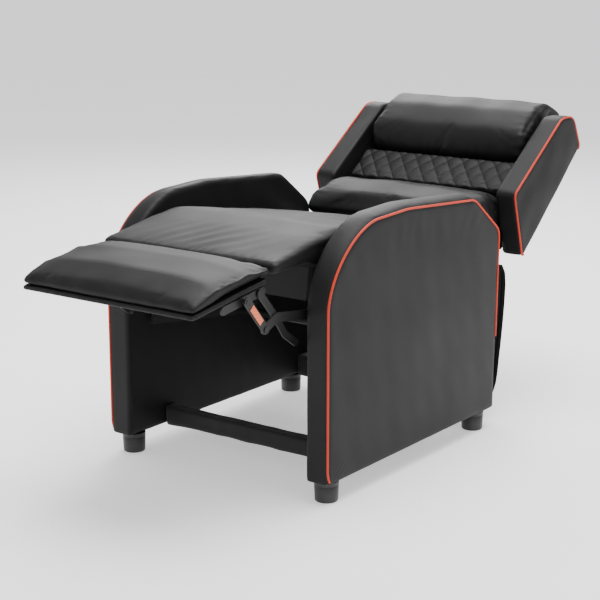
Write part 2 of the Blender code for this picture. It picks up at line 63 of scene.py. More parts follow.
camera_data = bpy.data.cameras.new("camera")
camera_data.lens, camera_data.sensor_width = 92.9, 36.0
camera = bpy.data.objects.new("camera", camera_data)
camera.location = (2.2206, arm_front - 2.6616, 1.2608)
camera.rotation_euler = (math.radians(90 - 13.43), 0, math.radians(36.49))
bpy.context.collection.objects.link(camera)
bpy.context.scene.camera = camera


def add_light(name, place, aim, size, power):
    data = bpy.data.lights.new(name, "AREA")
    data.shape, data.size, data.energy = "DISK", size, power
    light = bpy.data.objects.new(name, data)
    light.location = place
    light.rotation_euler = (Vector(aim) - Vector(place)).to_track_quat("-Z", "Y").to_euler()
    bpy.context.collection.objects.link(light)


add_light("key", (0.3, 0.2, 3.6), (0, 0, 0.4), 3.0, 190)
add_light("back_sheen", (-2.2, 3.0, 3.0), (0, 0, 0.4), 2.4, 130)
add_light("front_fill", (2.6, -3.4, 1.9), (0, 0, 0.4), 2.6, 6)
add_light("side_fill", (-3.2, -1.4, 1.6), (0, 0, 0.4), 2.2, 5)
world = bpy.data.worlds.new("studio")
world.use_nodes = True
world.node_tree.nodes["Background"].inputs["Color"].default_value = (1.0, 1.0, 1.0, 1.0)
world.node_tree.nodes["Background"].inputs["Strength"].default_value = 0.72
bpy.context.scene.world = world


class Value:
    """A shader number that adds its own Math nodes when it is used in an expression."""

    def __init__(self, recipe, socket):
        self.recipe, self.socket = recipe, socket

    def maths(self, operation, first, second):
        return self.recipe.node("ShaderNodeMath", {"operation": operation}, {0: first, 1: second})

    def __add__(self, other):
        return self.maths("ADD", self, other)

    def __sub__(self, other):
        return self.maths("SUBTRACT", self, other)

    def __mul__(self, other):
        return self.maths("MULTIPLY", self, other)

    def __rsub__(self, other):
        return self.maths("SUBTRACT", other, self)

    def __pow__(self, other):
        return self.maths("POWER", self, other)

    __radd__, __rmul__ = __add__, __mul__


class Recipe:
    """A material whose varying values are worked out by nodes and fed to one shader."""

    def __init__(self, name, **fixed):
        self.material = bpy.data.materials.new(name)
        self.material.use_nodes = True
        self.tree = self.material.node_tree
        self.shader = self.tree.nodes["Principled BSDF"]
        for socket, number in fixed.items():
            self.shader.inputs[socket.replace("_", " ")].default_value = number

    def node(self, kind, settings=None, sockets=None, output=0):
        made = self.tree.nodes.new(kind)
        for setting, choice in (settings or {}).items():
            setattr(made, setting, choice)
        for socket, given in (sockets or {}).items():
            if isinstance(given, Value):
                self.tree.links.new(given.socket, made.inputs[socket])
            else:
                made.inputs[socket].default_value = given
        return Value(self, made.outputs[output])

    def place(self, stretch=(1, 1, 1)):
        where = self.node("ShaderNodeTexCoord", output="Object")
        return self.node("ShaderNodeMapping", sockets={"Vector": where, "Scale": stretch})

    def noise(self, scale, detail=2.0, stretch=(1, 1, 1), rough=0.5):
        return self.node("ShaderNodeTexNoise", None,
                         {"Vector": self.place(stretch), "Scale": scale, "Detail": detail, "Roughness": rough})

    def mix(self, factor, dark, light):
        return self.node("ShaderNodeMix", {"data_type": "RGBA"}, {0: factor, 6: (*dark, 1), 7: (*light, 1)}, 2)

    def feed(self, **inputs):
        for socket, given in inputs.items():
            self.tree.links.new(given.socket, self.shader.inputs[socket.replace("_", " ")])
        return self

    def bump(self, height, distance, strength=1.0):
        return self.feed(Normal=self.node("ShaderNodeBump", None,
                                          {"Height": height, "Distance": distance, "Strength": strength}))


floor_mesh = bpy.data.meshes.new("floor")
floor_shape = bmesh.new()
bmesh.ops.create_grid(floor_shape, x_segments=1, y_segments=1, size=60)
floor_shape.to_mesh(floor_mesh)
floor_shape.free()
floor = bpy.data.objects.new("floor", floor_mesh)
bpy.context.collection.objects.link(floor)
pale = Recipe("pale_floor", Roughness=0.9, Specular_IOR_Level=0.1, Emission_Strength=0.60)
pale.shader.inputs["Emission Color"].default_value = (1.0, 1.0, 1.0, 1.0)
pale.feed(Base_Color=pale.mix(pale.noise(2.0), (0.90, 0.90, 0.90), (0.93, 0.93, 0.93)))
floor.data.materials.append(pale.material)


# ---- Leather, in black and in the red of the piping ----
# Coated upholstery leather: a fine pebbled grain, a soft sheen that varies where it has been
# stretched, and slightly paler, smoother high spots. The grain's hollows are painted darker and its
# high spots paler: painted shade in the grain, laid over a random cloudy tone.
def leather(name, dark, light, rough, grain=1.0):
    hide = Recipe(name, Specular_IOR_Level=0.20)
    pebble = hide.node("ShaderNodeTexVoronoi", {"feature": "SMOOTH_F1"},
                       {"Vector": hide.place(), "Scale": 620.0, "Smoothness": 0.6})
    pores = hide.noise(1900.0, 2.0)
    creases = hide.noise(60.0, 6.0, rough=0.65)
    cloud = hide.noise(5.0, 3.0)
    # Colour: a random cloudy tone, plus painted shade that darkens the grain's hollows where the bump is low.
    hide.feed(Base_Color=hide.mix(cloud * 0.7 + pebble * 0.5, light, dark),
              Roughness=rough + cloud * 0.10 + pores * 0.08)
    hide.bump(pores * 0.25 - pebble * 0.6 + creases * 0.5, 0.0006 * grain, 0.55)
    return hide.material


black_leather = leather("black_leather", (0.0055, 0.0055, 0.0058), (0.011, 0.011, 0.0114), 0.44)
red_leather = leather("red_leather", (0.46, 0.028, 0.014), (0.64, 0.062, 0.024), 0.42, 0.6)


def add_piece(name, shape, material, body, smooth=None):
    """A finished mesh with its material, riding on a body when one is given."""
    mesh = bpy.data.meshes.new(name)
    shape.to_mesh(mesh)
    shape.free()
    piece = bpy.data.objects.new(name, mesh)
    bpy.context.collection.objects.link(piece)
    mesh.materials.append(material)
    mesh.shade_smooth()
    if smooth:
        mesh.set_sharp_from_angle(angle=math.radians(smooth))
    if body:
        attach(piece, body)
    return piece


def subdivide(piece, levels=1):
    rounder = piece.modifiers.new("rounder", "SUBSURF")
    rounder.levels = rounder.render_levels = levels


def bake(piece):
    """Apply a piece's modifiers to its mesh."""
    bpy.context.view_layer.update()
    made = bpy.data.meshes.new_from_object(piece.evaluated_get(bpy.context.evaluated_depsgraph_get()))
    piece.modifiers.clear()
    old, piece.data = piece.data, made
    bpy.data.meshes.remove(old)
    made.shade_smooth()


# ---- Arms ----
# Each arm is a wooden panel in a padded leather cover: a flat outer panel, a top band that
# runs from the front over the nose to the back, and a red corded seam on the outer rim.
NOSE_START, NOSE_END, NOSE_POWER = 0.450, (0.196, 0.633), 1.7
ARM_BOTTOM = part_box("left_arm_cover")[0][2]
ARM_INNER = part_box("right_arm_cover")[0][0]
RIM = 0.0050
CORD_RADIUS, CORD_INSET = 0.0028, 0.0022


def arc(corner, before, after, radius, steps):
    """The points that round one corner of an outline."""
    here = Vector(corner)
    back, on = (Vector(before) - here).normalized(), (Vector(after) - here).normalized()
    half = back.angle(on) / 2
    centre = here + (back + on).normalized() * (radius / math.sin(half))
    start = here + back * (radius / math.tan(half)) - centre
    end = here + on * (radius / math.tan(half)) - centre
    sweep = math.atan2(start.x * end.y - start.y * end.x, start.dot(end))
    return [tuple(centre + Matrix.Rotation(sweep * k / steps, 2) @ start) for k in range(steps + 1)]


def rounded(corners, steps=6):
    """An outline with its corners rounded. Each corner is (depth, height, radius)."""
    outline = []
    for i, (depth, height, radius) in enumerate(corners):
        if radius:
            following = corners[(i + 1) % len(corners)][:2]
            outline += arc((depth, height), corners[i - 1][:2], following, radius, steps)
        else:
            outline.append((depth, height))
    return outline


def evenly(outline, step, closed=True):
    """The same outline with points a set distance apart."""
    path = [Vector(p) for p in outline] + ([Vector(outline[0])] if closed else [])
    lengths = [(b - a).length for a, b in zip(path, path[1:])]
    count = max(8, round(sum(lengths) / step))
    points, i, gone = [], 0, 0.0
    for k in range(count if closed else count + 1):
        want = sum(lengths) * k / count
        while i < len(lengths) - 1 and gone + lengths[i] < want:
            gone += lengths[i]
            i += 1
        points.append(tuple(path[i].lerp(path[i + 1], min(1.0, (want - gone) / lengths[i]))))
    return points


def inset(outline, distance):
    """Move a clockwise outline inwards."""
    moved = []
    for i, point in enumerate(outline):
        here = Vector(point)
        behind = (here - Vector(outline[i - 1])).normalized()
        ahead = (Vector(outline[(i + 1) % len(outline)]) - here).normalized()
        along = (behind + ahead).normalized()
        moved.append(tuple(here + Vector((along.y, -along.x)) * distance / max(0.5, along.dot(ahead))))
    return moved


def loft(sections):
    """A closed bmesh through sections: each is (x, outline), in order along X."""
    shape = bmesh.new()
    loops = []
    for x, outline in sections:
        ring = [shape.verts.new((x, arm_front + depth, height)) for depth, height in outline]
        loops.append([shape.edges.new((ring[i - 1], ring[i])) for i in range(len(ring))])
        if x in (sections[0][0], sections[-1][0]):
            shape.faces.new(ring)
    for a, b in zip(loops, loops[1:]):
        bmesh.ops.bridge_loops(shape, edges=a + b)
    bmesh.ops.recalc_face_normals(shape, faces=shape.faces)
    return shape


def arm_outline():
    nose = []
    for k in range(25):
        angle = math.pi / 2 * k / 24
        nose.append((NOSE_END[0] * (1 - math.cos(angle) ** (2 / NOSE_POWER)),
                     NOSE_START + (NOSE_END[1] - NOSE_START) * math.sin(angle) ** (2 / NOSE_POWER)))
    rear = rounded([(*NOSE_END, 0), (0.320, 0.638, 0.30), (0.624, 0.617, 0.06), (0.752, 0.522, 0.04),
                    (0.745, ARM_BOTTOM, 0)])
    return [(0.0, ARM_BOTTOM)] + nose + rear[1:]


def cord(name, outline, x, body, replaced):
    """A corded seam along an outline, in the plane at x."""
    curve = bpy.data.curves.new(name, "CURVE")
    curve.dimensions, curve.bevel_depth, curve.bevel_resolution = "3D", CORD_RADIUS, 4
    curve.use_fill_caps = True
    spline = curve.splines.new("POLY")
    spline.points.add(len(outline) - 1)
    for point, (depth, height) in zip(spline.points, outline):
        point.co = (x, arm_front + depth, height, 1)
    lay = bpy.data.objects.new(name + "_lay", curve)
    bpy.context.collection.objects.link(lay)
    bpy.context.view_layer.update()
    mesh = bpy.data.meshes.new_from_object(lay.evaluated_get(bpy.context.evaluated_depsgraph_get()))
    bpy.data.objects.remove(lay)
    mesh.name = name
    mesh.materials.clear()
    mesh.materials.append(red_leather)
    mesh.shade_smooth()
    piece = bpy.data.objects.new(name, mesh)
    bpy.context.collection.objects.link(piece)
    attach(piece, body)
    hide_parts(replaced)


def bell(distance, width):
    return np.exp(-(distance / width) ** 2)


def fade(value, low, high):
    """Rises smoothly from 0 at low to 1 at high."""
    t = np.clip((value - low) / (high - low), 0, 1)
    return t * t * (3 - 2 * t)


def waves(x, y, z, length, seed):
    """Irregular smooth waves from about -1 to 1, with a typical length in metres."""
    draw = np.random.default_rng(seed)
    total = 0
    for _ in range(7):
        way = draw.normal(size=3)
        way *= 2 * math.pi * draw.uniform(0.6, 1.5) / (length * np.linalg.norm(way))
        total = total + np.sin(x * way[0] + y * way[1] + z * way[2] + draw.uniform(0, 2 * math.pi))
    return total / 3.2


def reshape(piece, rule):
    """Move a mesh's points: rule takes their x, depth, height and normals, and gives the three shifts."""
    mesh = piece.data
    spots = np.empty(len(mesh.vertices) * 3)
    facing = np.empty(len(mesh.vertices) * 3)
    mesh.vertices.foreach_get("co", spots)
    mesh.vertex_normals.foreach_get("vector", facing)
    spots, facing = spots.reshape(-1, 3), facing.reshape(-1, 3)
    shifts = rule(spots[:, 0], spots[:, 1] - arm_front, spots[:, 2], facing)
    spots += np.stack([np.broadcast_to(shift, len(spots)) for shift in shifts], 1)
    mesh.vertices.foreach_set("co", spots.ravel())
    mesh.update()


def remesh(piece, size):
    even = piece.modifiers.new("even", "REMESH")
    even.mode, even.voxel_size = "VOXEL", size
    bake(piece)


def rim_rows(inner, outer):
    """How far a padded panel's outline is drawn in, from its inner face to its rounded outer rim."""
    return [(inner, 0.004), (inner + 0.0015, 0.0015), (inner + 0.005, 0.0), (outer - RIM, 0.0),
            (outer - 0.0035, 0.0018), (outer - 0.0012, RIM * 0.62), (outer, RIM + 0.004)]


def upholster_arm(side, name):
    outline = evenly(arm_outline(), 0.012)
    rows = rim_rows(ARM_INNER, half_width)
    shape = loft([(side * x, inset(outline, d)) for x, d in rows])
    piece = add_piece(name + "_arm_upholstery", shape, black_leather, None)
    remesh(piece, 0.0068)

    def pad(x, depth, height, facing):
        across = np.clip((abs(x) - ARM_INNER) / (half_width - ARM_INNER), 0, 1)
        top = fade(height, 0.40, 0.56)
        crown = top * (0.010 * (1 - across) ** 0.8 + 0.004 * np.sin(math.pi * across))
        outer = fade(abs(x), half_width - 0.006, half_width - 0.002)
        puff = 0.0025 * np.sin(math.pi * np.clip(depth / 0.745, 0, 1)) * np.sin(
            math.pi * np.clip((height - ARM_BOTTOM) / 0.57, 0, 1))
        gather = bell(height - 0.075, 0.030) * bell(depth - 0.045, 0.045) * np.sin((depth - height) * 330)
        hang = bell(height - 0.575, 0.045) * np.sin(depth * 120 + 3 * waves(x, depth, height, 0.2, 2))
        slack = 0.0006 * waves(x, depth, height, 0.10, 5)
        inner_seam = top * bell(abs(x) - ARM_INNER - 0.003, 0.0035) * 0.0018
        push = side * (outer * (puff + 0.0012 * gather + 0.00018 * hang) + slack)
        return push, -facing[:, 1] * inner_seam, crown - facing[:, 2] * inner_seam

    reshape(piece, pad)
    subdivide(piece)
    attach(piece, "base")
    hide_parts(name + "_arm_cover")
    line = evenly(inset(arm_outline(), CORD_INSET), 0.006)
    line = [p for p in line if p[1] > ARM_BOTTOM + 0.003 and not (p[0] > 0.70 and p[1] < 0.24)]
    line = [(d + 8.0 * max(0.0, 0.088 - h) ** 2 * (d < 0.1), h) for d, h in line]
    cord(name + "_arm_cord", line, side * (half_width - CORD_INSET), "base", name + "_arm_piping")


for side_sign, side_name in ((1, "right"), (-1, "left")):
    upholster_arm(side_sign, side_name)


# ---- Stuffed cushions ----
# Each is foam in a sewn leather cover. It starts as a closed loft through its side outline,
# swells under pressure as cloth, and then takes its seams, gathers and creases.
def stuff(name, outline, half, end_radius, voxel, swell, crown=0.0):
    """A cushion across the chair, with rounded ends, swollen by at most swell."""
    path = evenly(outline, 0.010)
    rows = []
    for k in range(-12, 13):
        t = k / 12
        x = half * math.copysign(1 - (1 - abs(t)) ** 1.6, t)
        gap = max(0.0, abs(x) - (half - end_radius))
        shrink = end_radius - math.sqrt(max(0.0, end_radius ** 2 - gap ** 2))
        rows.append((x, inset(path, min(shrink, end_radius * 0.93) - crown * (1 - t * t))))
    piece = add_piece(name, loft(rows), black_leather, None)
    remesh(piece, voxel)
    inflate(piece, swell)
    return piece


CUSHION_FRAMES = 20


def inflate(piece, most):
    """Blow a mesh up as cloth, and let no point move further than most."""
    mesh = piece.data
    start = np.empty(len(mesh.vertices) * 3)
    mesh.vertices.foreach_get("co", start)
    cloth = piece.modifiers.new("cloth", "CLOTH")
    cloth.settings.quality = 4
    cloth.settings.mass = 0.4
    cloth.settings.tension_stiffness = cloth.settings.compression_stiffness = 18
    cloth.settings.bending_stiffness = 0.6
    cloth.settings.use_pressure = True
    cloth.settings.uniform_pressure_force = 4
    cloth.settings.effector_weights.gravity = 0
    cloth.point_cache.frame_start, cloth.point_cache.frame_end = 1, CUSHION_FRAMES
    scene = bpy.context.scene
    for step in range(1, CUSHION_FRAMES + 1):
        scene.frame_set(step)
    bake(piece)
    scene.frame_set(1)
    mesh = piece.data
    end = np.empty(len(mesh.vertices) * 3)
    mesh.vertices.foreach_get("co", end)
    start, end = start.reshape(-1, 3), end.reshape(-1, 3)
    shift = end - start
    length = np.linalg.norm(shift, axis=1, keepdims=True)
    soft = most * np.tanh(length / most)
    mesh.vertices.foreach_set("co", (start + shift * soft / np.maximum(length, 1e-9)).ravel())
    mesh.update()


def settle(piece, body, fill, *nodes):
    """Finish a cushion: round it off, hide the CAD parts it stands for, and put it on its body if one is given.
    """
    subdivide(piece)
    bake(piece)
    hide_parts(*nodes)
    if body:
        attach(piece, body)


# ---- Seat and chaise ----
# One leather cover runs from the back over the sprung seat to the crease of the footrest.
# It is shaped with a crease where the footrest folds, and its side band is sewn to the top along an edge seam.
SEAT_OUTLINE = rounded([(0.056, 0.5335, 0.004), (0.030, 0.5460, 0.020), (-0.093, 0.5385, 0.006),
                        (-0.093, 0.5625, 0.008), (0.060, 0.592, 0.100), (0.150, 0.604, 0.120),
                        (0.668, 0.518, 0.022), (0.650, 0.4575, 0.010)])
seat_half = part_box("seat_cushion")[1][0]
seat = stuff("seat_and_chaise", SEAT_OUTLINE, seat_half - 0.002, 0.009, 0.0065, 0.004, crown=0.001)


def seat_folds(x, depth, height, facing):
    """A crease at the footrest, soft diagonal drags above it, and a sewn edge along each side."""
    up = np.clip(facing[:, 2], 0, 1)
    crown = 0.006 * up * np.cos(math.pi / 2 * np.clip(x / seat_half, -1, 1)) * fade(depth, -0.09, 0.15)
    near_crease = fade(depth, -0.09, -0.03) * (1 - fade(depth, -0.02, 0.11))
    drag = np.sin((x * 0.80 - depth * 0.60) * 150 + 1.2 * waves(x, depth, 0, 0.30, 11))
    drags = 0.0009 * drag * near_crease * bell(x + 0.02, 0.16) * fade(waves(x, depth, 0, 0.30, 12), -0.6, 0.6)
    pulls = bell(depth + 0.088, 0.020) * 0.0010 * np.sin(x * 240 + 3 * waves(x, 0, 0, 0.1, 13))
    top = np.where(depth < 0.06, 0.580 + 0.19 * depth, 0.592 - 0.125 * (depth - 0.06))
    seam = fade(abs(x), seat_half - 0.012, seat_half - 0.004) * bell(height - top + 0.014, 0.0030)
    slack = 0.0012 * waves(x, depth, height, 0.16, 14)
    lift = up * (drags + pulls + slack * fade(depth, -0.08, 0))
    return -np.sign(x) * seam * 0.0022, facing[:, 1] * lift, crown + lift


reshape(seat, seat_folds)
settle(seat, None, 0.7, "seat_cushion", "chaise_pad")
hinge = next(j for j in frame["joints"] if j["name"] == "footrest_fold")["pos_m"]
hinge[1] + 0.045
hinge[1] - 0.045
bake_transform(seat)


# ---- Footrest ----
# A plump pad whose cover is gathered into its corners and sewn down along the front, on a
# plywood board wrapped in leather with folded corners.
PAD_OUTLINE = rounded([(-0.0965, 0.5420, 0.004), (-0.357, 0.5040, 0.002), (-0.356, 0.5150, 0.008),
                       (-0.280, 0.5500, 0.060), (-0.180, 0.5630, 0.080), (-0.0965, 0.5600, 0.006)])
pad_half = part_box("footrest_pad")[1][0]
rest_pad = stuff("footrest_cushion", PAD_OUTLINE, pad_half - 0.003, 0.006, 0.005, 0.006, crown=0.003)


def pad_folds(x, depth, height, facing):
    """A pillow sewn along its sides, drawn in below the seam, with gathers at its rear corners."""
    up = np.clip(facing[:, 2], 0, 1)
    side = np.clip(abs(x) / pad_half, 0, 1)
    seam_height = 0.5565 - 1.9 * np.maximum(0, -0.215 - depth) ** 2 - 0.13 * (-0.098 - depth)
    below = fade(seam_height - height, 0.001, 0.016) * fade(abs(x), pad_half - 0.040, pad_half - 0.006)
    draw_in = 0.012 * below * fade(depth, -0.352, -0.330)
    corner = bell(abs(x) - pad_half, 0.050) * bell(depth + 0.097, 0.040)
    fan = np.sin(np.arctan2(depth + 0.20, abs(x) - 0.10) * 34 + 1.5 * waves(x, depth, 0, 0.15, 21))
    front = bell(depth + 0.350, 0.030) * np.sin(x * 75 + 2.5 * waves(x, 0, 0, 0.25, 23))
    round_off = -0.016 * side ** 6 * fade(depth, -0.35, -0.27) * (1 - 0.55 * fade(depth, -0.16, -0.10))
    slack = 0.0013 * waves(x, depth, height, 0.16, 22)
    lift = up * (0.0012 * fan * corner + 0.0007 * front + slack + 0.005 * (1 - side ** 2) + round_off)
    sewn = fade(abs(x), pad_half - 0.014, pad_half - 0.006) * bell(height - seam_height + 0.004, 0.0025) * 0.002
    return -np.sign(x) * (draw_in + sewn), facing[:, 1] * 0.0006 * front, lift


reshape(rest_pad, pad_folds)
settle(rest_pad, "footrest", 0.8, "footrest_pad")

board_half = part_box("footrest_board")[1][0]
BOARD_OUTLINE = rounded([(-0.102, 0.5260, 0.0045), (-0.358, 0.4900, 0.0050), (-0.358, 0.5020, 0.0050),
                         (-0.102, 0.5380, 0.0045)])
board = stuff("wrapped_board", BOARD_OUTLINE, board_half, 0.0045, 0.0035, 0.0)


def board_folds(x, depth, height, facing):
    """The leather is folded over at the corners and pulled tight along the front."""
    corner = bell(abs(x) - board_half, 0.020) * bell(depth + 0.356, 0.018)
    fold = np.sin((abs(x) - depth) * 420) * corner
    tucks = 0.0005 * np.sin(x * 150 + 5 * waves(x, depth, 0, 0.15, 31)) * bell(depth + 0.358, 0.008)
    return facing[:, 0] * 0.0012 * fold, facing[:, 1] * (0.0012 * fold + tucks), facing[:, 2] * 0.0009 * fold


reshape(board, board_folds)
settle(board, "footrest", 0.2, "footrest_board")


# ---- Back ----
# Lumbar cushion, diamond-quilted panel and head pillow between two padded wings. The
# cushions' ends are gathered; the wings carry a red corded seam on their outer rim.
back_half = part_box("lumbar_cushion")[1][0]
LUMBAR_OUTLINE = rounded([(0.756, 0.4870, 0.020), (0.698, 0.524, 0.016), (0.735, 0.5660, 0.050),
                          (0.818, 0.5900, 0.060), (0.900, 0.5830, 0.022), (0.940, 0.5310, 0.010),
                          (0.868, 0.4760, 0.010), (0.812, 0.4720, 0.020)])
lumbar = stuff("lumbar_pad", LUMBAR_OUTLINE, back_half - 0.003, 0.020, 0.006, 0.010)


def lumbar_folds(x, depth, height, facing):
    """Fans of gathers at both ends, where the cover is sewn into its corners."""
    end = bell(abs(x) - back_half, 0.045)
    angle = np.arctan2(height - 0.535, depth - 0.80)
    fan = np.sin(angle * 24 + 3 * waves(x, depth, height, 0.12, 41))
    slack = 0.0016 * waves(x, depth, height, 0.15, 42)
    lift = 0.0007 * fan * end + slack
    spread = 0.011 * fade(abs(x), back_half - 0.06, back_half) * (1 - fade(depth, 0.80, 0.86))
    tuck = 0.012 * bell(abs(x) - back_half, 0.022) * bell(depth - 0.885, 0.03) * np.clip(facing[:, 2], 0, 1)
    return facing[:, 0] * lift + np.sign(x) * spread, facing[:, 1] * lift, facing[:, 2] * lift - tuck


reshape(lumbar, lumbar_folds)
settle(lumbar, "back", 0.75, "lumbar_cushion")

QUILT_FOOT, QUILT_TOP = (0.9125, 0.5860), (1.004, 0.6540)      # the ends of its front face
QUILT_OUTLINE = rounded([(0.952, 0.5370, 0.004), (*QUILT_FOOT, 0.006), (*QUILT_TOP, 0.006),
                         (1.044, 0.6120, 0.004)])
quilt = stuff("quilted_panel_cover", QUILT_OUTLINE, back_half, 0.004, 0.0035, 0.0)
DIAMOND_WIDE, DIAMOND_TALL = 0.050, 0.062


def quilt_stitches(x, depth, height, facing):
    """Diamond quilting: rows of puffs with a sewn groove along each diagonal."""
    slope = math.atan2(QUILT_TOP[1] - QUILT_FOOT[1], QUILT_TOP[0] - QUILT_FOOT[0])
    along = (depth - QUILT_FOOT[0]) * math.cos(slope) + (height - QUILT_FOOT[1]) * math.sin(slope)
    one = x / DIAMOND_WIDE + along / DIAMOND_TALL
    two = x / DIAMOND_WIDE - along / DIAMOND_TALL
    puff = (abs(np.sin(math.pi * one)) * abs(np.sin(math.pi * two))) ** 0.35
    front = fade(-facing[:, 1] * math.sin(slope) + facing[:, 2] * math.cos(slope), 0.6, 0.9)
    lift = 0.0042 * puff * front
    return 0 * x, -math.sin(slope) * lift, math.cos(slope) * lift


subdivide(quilt)
bake(quilt)
reshape(quilt, quilt_stitches)
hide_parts("quilted_panel")
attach(quilt, "back")

PILLOW_OUTLINE = rounded([(1.052, 0.6180, 0.008), (1.012, 0.664, 0.024), (1.012, 0.720, 0.042),
                          (1.088, 0.779, 0.070), (1.160, 0.800, 0.060), (1.250, 0.762, 0.026),
                          (1.240, 0.719, 0.020), (1.165, 0.711, 0.012)])
pillow = stuff("head_pillow_cushion", PILLOW_OUTLINE, back_half - 0.006, 0.012, 0.006, 0.008)


def pillow_folds(x, depth, height, facing):
    """Short gathers where the pillow is sewn in at each end and underneath."""
    end = bell(abs(x) - back_half, 0.030) * bell(depth - 1.02, 0.05)
    angle = np.arctan2(height - 0.70, depth - 1.13)
    fan = np.sin(angle * 26 + 2 * waves(x, depth, height, 0.12, 51))
    gusset = bell(abs(x) - back_half + 0.012, 0.0035) * 0.0022
    tucks = np.sin(x * 160 + 4 * waves(x, 0, 0, 0.15, 52))
    foot = bell(height - 0.672, 0.020) * bell(depth - 1.012, 0.03) * tucks
    lift = 0.0012 * fan * end + 0.0007 * foot + 0.0014 * waves(x, depth, height, 0.18, 53) - gusset
    return facing[:, 0] * lift, facing[:, 1] * lift, facing[:, 2] * lift


reshape(pillow, pillow_folds)
settle(pillow, "back", 0.85, "head_pillow")

wing_inner, wing_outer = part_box("right_wing")[0][0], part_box("right_wing")[1][0]
WING_OUTLINE = rounded([(0.8965, 0.4200, 0.008), (0.843, 0.596, 0.020), (1.095, 0.772, 0.060),
                        (1.163, 0.772, 0.045), (1.209, 0.682, 0.015)])


def upholster_wing(side, name):
    outline = evenly(WING_OUTLINE, 0.008)
    rows = rim_rows(wing_inner, wing_outer)
    piece = add_piece(name + "_wing_upholstery", loft([(side * x, inset(outline, d)) for x, d in rows]),
                      black_leather, None)
    remesh(piece, 0.005)

    def pad(x, depth, height, facing):
        middle = bell(depth - 1.03, 0.13) * bell((height - 0.60) - 0.8 * (depth - 1.03), 0.09)
        outer = fade(abs(x), wing_outer - 0.006, wing_outer - 0.002)
        slack = 0.0008 * waves(x, depth, height, 0.11, 61)
        inner_seam = bell(abs(x) - wing_inner - 0.003, 0.0035) * 0.0016
        return (side * (outer * 0.003 * middle + slack), -facing[:, 1] * inner_seam,
                slack - facing[:, 2] * inner_seam)

    reshape(piece, pad)
    subdivide(piece)
    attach(piece, "back")
    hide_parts(name + "_wing")
    cord(name + "_wing_cord", evenly(inset(WING_OUTLINE, CORD_INSET), 0.006, closed=False),
         side * (wing_outer - CORD_INSET), "back", name + "_wing_piping")


for side_sign, side_name in ((1, "right"), (-1, "left")):
    upholster_wing(side_sign, side_name)


# ---- Feet ----
# Turned black plastic feet, screwed up into the arm frames. They taper a little and have a
# rounded bottom edge and a moulded seam line.
moulded = Recipe("black_plastic", Specular_IOR_Level=0.45)
moulded.feed(Base_Color=moulded.mix(moulded.noise(9.0), (0.012, 0.012, 0.012), (0.022, 0.022, 0.022)),
             Roughness=0.34 + moulded.noise(25.0, 3.0) * 0.22)
moulded.bump(moulded.noise(700.0, 3.0), 0.0002, 0.5)


def turn(name, profile, centre, material, body, axis="Z", steps=40):
    """A closed solid of revolution. Profile points are (radius, distance along the axis)."""
    shape = bmesh.new()
    line = [shape.verts.new((radius, 0, along)) for radius, along in profile]
    for a, b in zip(line, line[1:]):
        shape.edges.new((a, b))
    bmesh.ops.spin(shape, geom=shape.verts[:] + shape.edges[:], axis=(0, 0, 1), cent=(0, 0, 0), steps=steps,
                   angle=2 * math.pi, use_merge=True)
    bmesh.ops.remove_doubles(shape, verts=shape.verts, dist=0.00001)
    bmesh.ops.recalc_face_normals(shape, faces=shape.faces)
    if axis == "X":
        bmesh.ops.rotate(shape, verts=shape.verts, matrix=Matrix.Rotation(math.pi / 2, 3, "Y"))
    bmesh.ops.translate(shape, verts=shape.verts, vec=centre)
    return add_piece(name, shape, material, body, smooth=40)


for node in ("left_front_foot", "right_front_foot", "left_rear_foot", "right_rear_foot"):
    low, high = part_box(node)
    radius, tall = (high.x - low.x) / 2, high.z - low.z
    profile = [(0, 0), (radius - 0.006, 0), (radius - 0.0038, 0.0006), (radius - 0.0022, 0.0024),
               (radius - 0.0018, 0.005), (radius - 0.0006, tall - 0.012), (radius - 0.0012, tall - 0.0112),
               (radius - 0.0004, tall - 0.0104), (radius, tall - 0.001), (radius - 0.001, tall), (0, tall)]
    foot = turn(node + "_cap", profile, ((low.x + high.x) / 2, (low.y + high.y) / 2, low.z), moulded.material,
                "base")
    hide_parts(node)


# ---- Cross rails ----
# Wooden rails between the arms, wrapped in black nonwoven cloth that is stapled, wrinkles
# along the rail and flares a little where it is pulled over the ends.
cloth = Recipe("nonwoven_cloth", Specular_IOR_Level=0.25, Sheen_Weight=0.25, Sheen_Roughness=0.5)
weave = cloth.noise(900.0, 3.0)
cloth.feed(Base_Color=cloth.mix(cloth.noise(14.0, 4.0) * 0.6 + weave * 0.5, (0.005, 0.005, 0.0055),
                                (0.012, 0.012, 0.0125)), Roughness=0.68 + weave * 0.2)
cloth.bump(weave * 0.5 + cloth.noise(240.0, 2.0) * 0.5, 0.0005, 0.7)

for node, flare in (("front_rail", 0.005), ("rear_rail", 0.003)):
    low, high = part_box(node)
    near, far = low.y - arm_front, high.y - arm_front
    section = evenly(rounded([(near, low.z, 0.004), (near, high.z, 0.004), (far, high.z, 0.004),
                              (far, low.z, 0.004)], 3), 0.004)
    rail = add_piece(node + "_wrap", loft([(high.x * k / 40, section) for k in range(-40, 41)]), cloth.material,
                     "base")
    remesh(rail, 0.004)

    def wrinkle(x, depth, height, facing, reach=high.x, flare=flare):
        long_ones = 0.0006 * waves(x * 0.35, depth, height, 0.040, 71)
        short_ones = 0.0004 * waves(x, depth * 2, height * 2, 0.06, 72)
        lift = long_ones + short_ones + flare * bell(abs(x) - reach, 0.045)
        return 0 * x, facing[:, 1] * lift, facing[:, 2] * lift

    reshape(rail, wrinkle)
    subdivide(rail)
    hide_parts(node)


# ---- Wooden frames ----
# Plain plywood inside the arms, with sawn grain. The seat box and the back's frame are
# wrapped in the same black cloth as the rails.
timber = Recipe("pale_plywood", Specular_IOR_Level=0.3)
grain = timber.noise(28.0, 5.0, (6, 1, 6), 0.6)
timber.feed(Base_Color=timber.mix(grain, (0.34, 0.20, 0.10), (0.56, 0.38, 0.22)), Roughness=0.55 + grain * 0.2)
timber.bump(grain, 0.0006, 0.5)


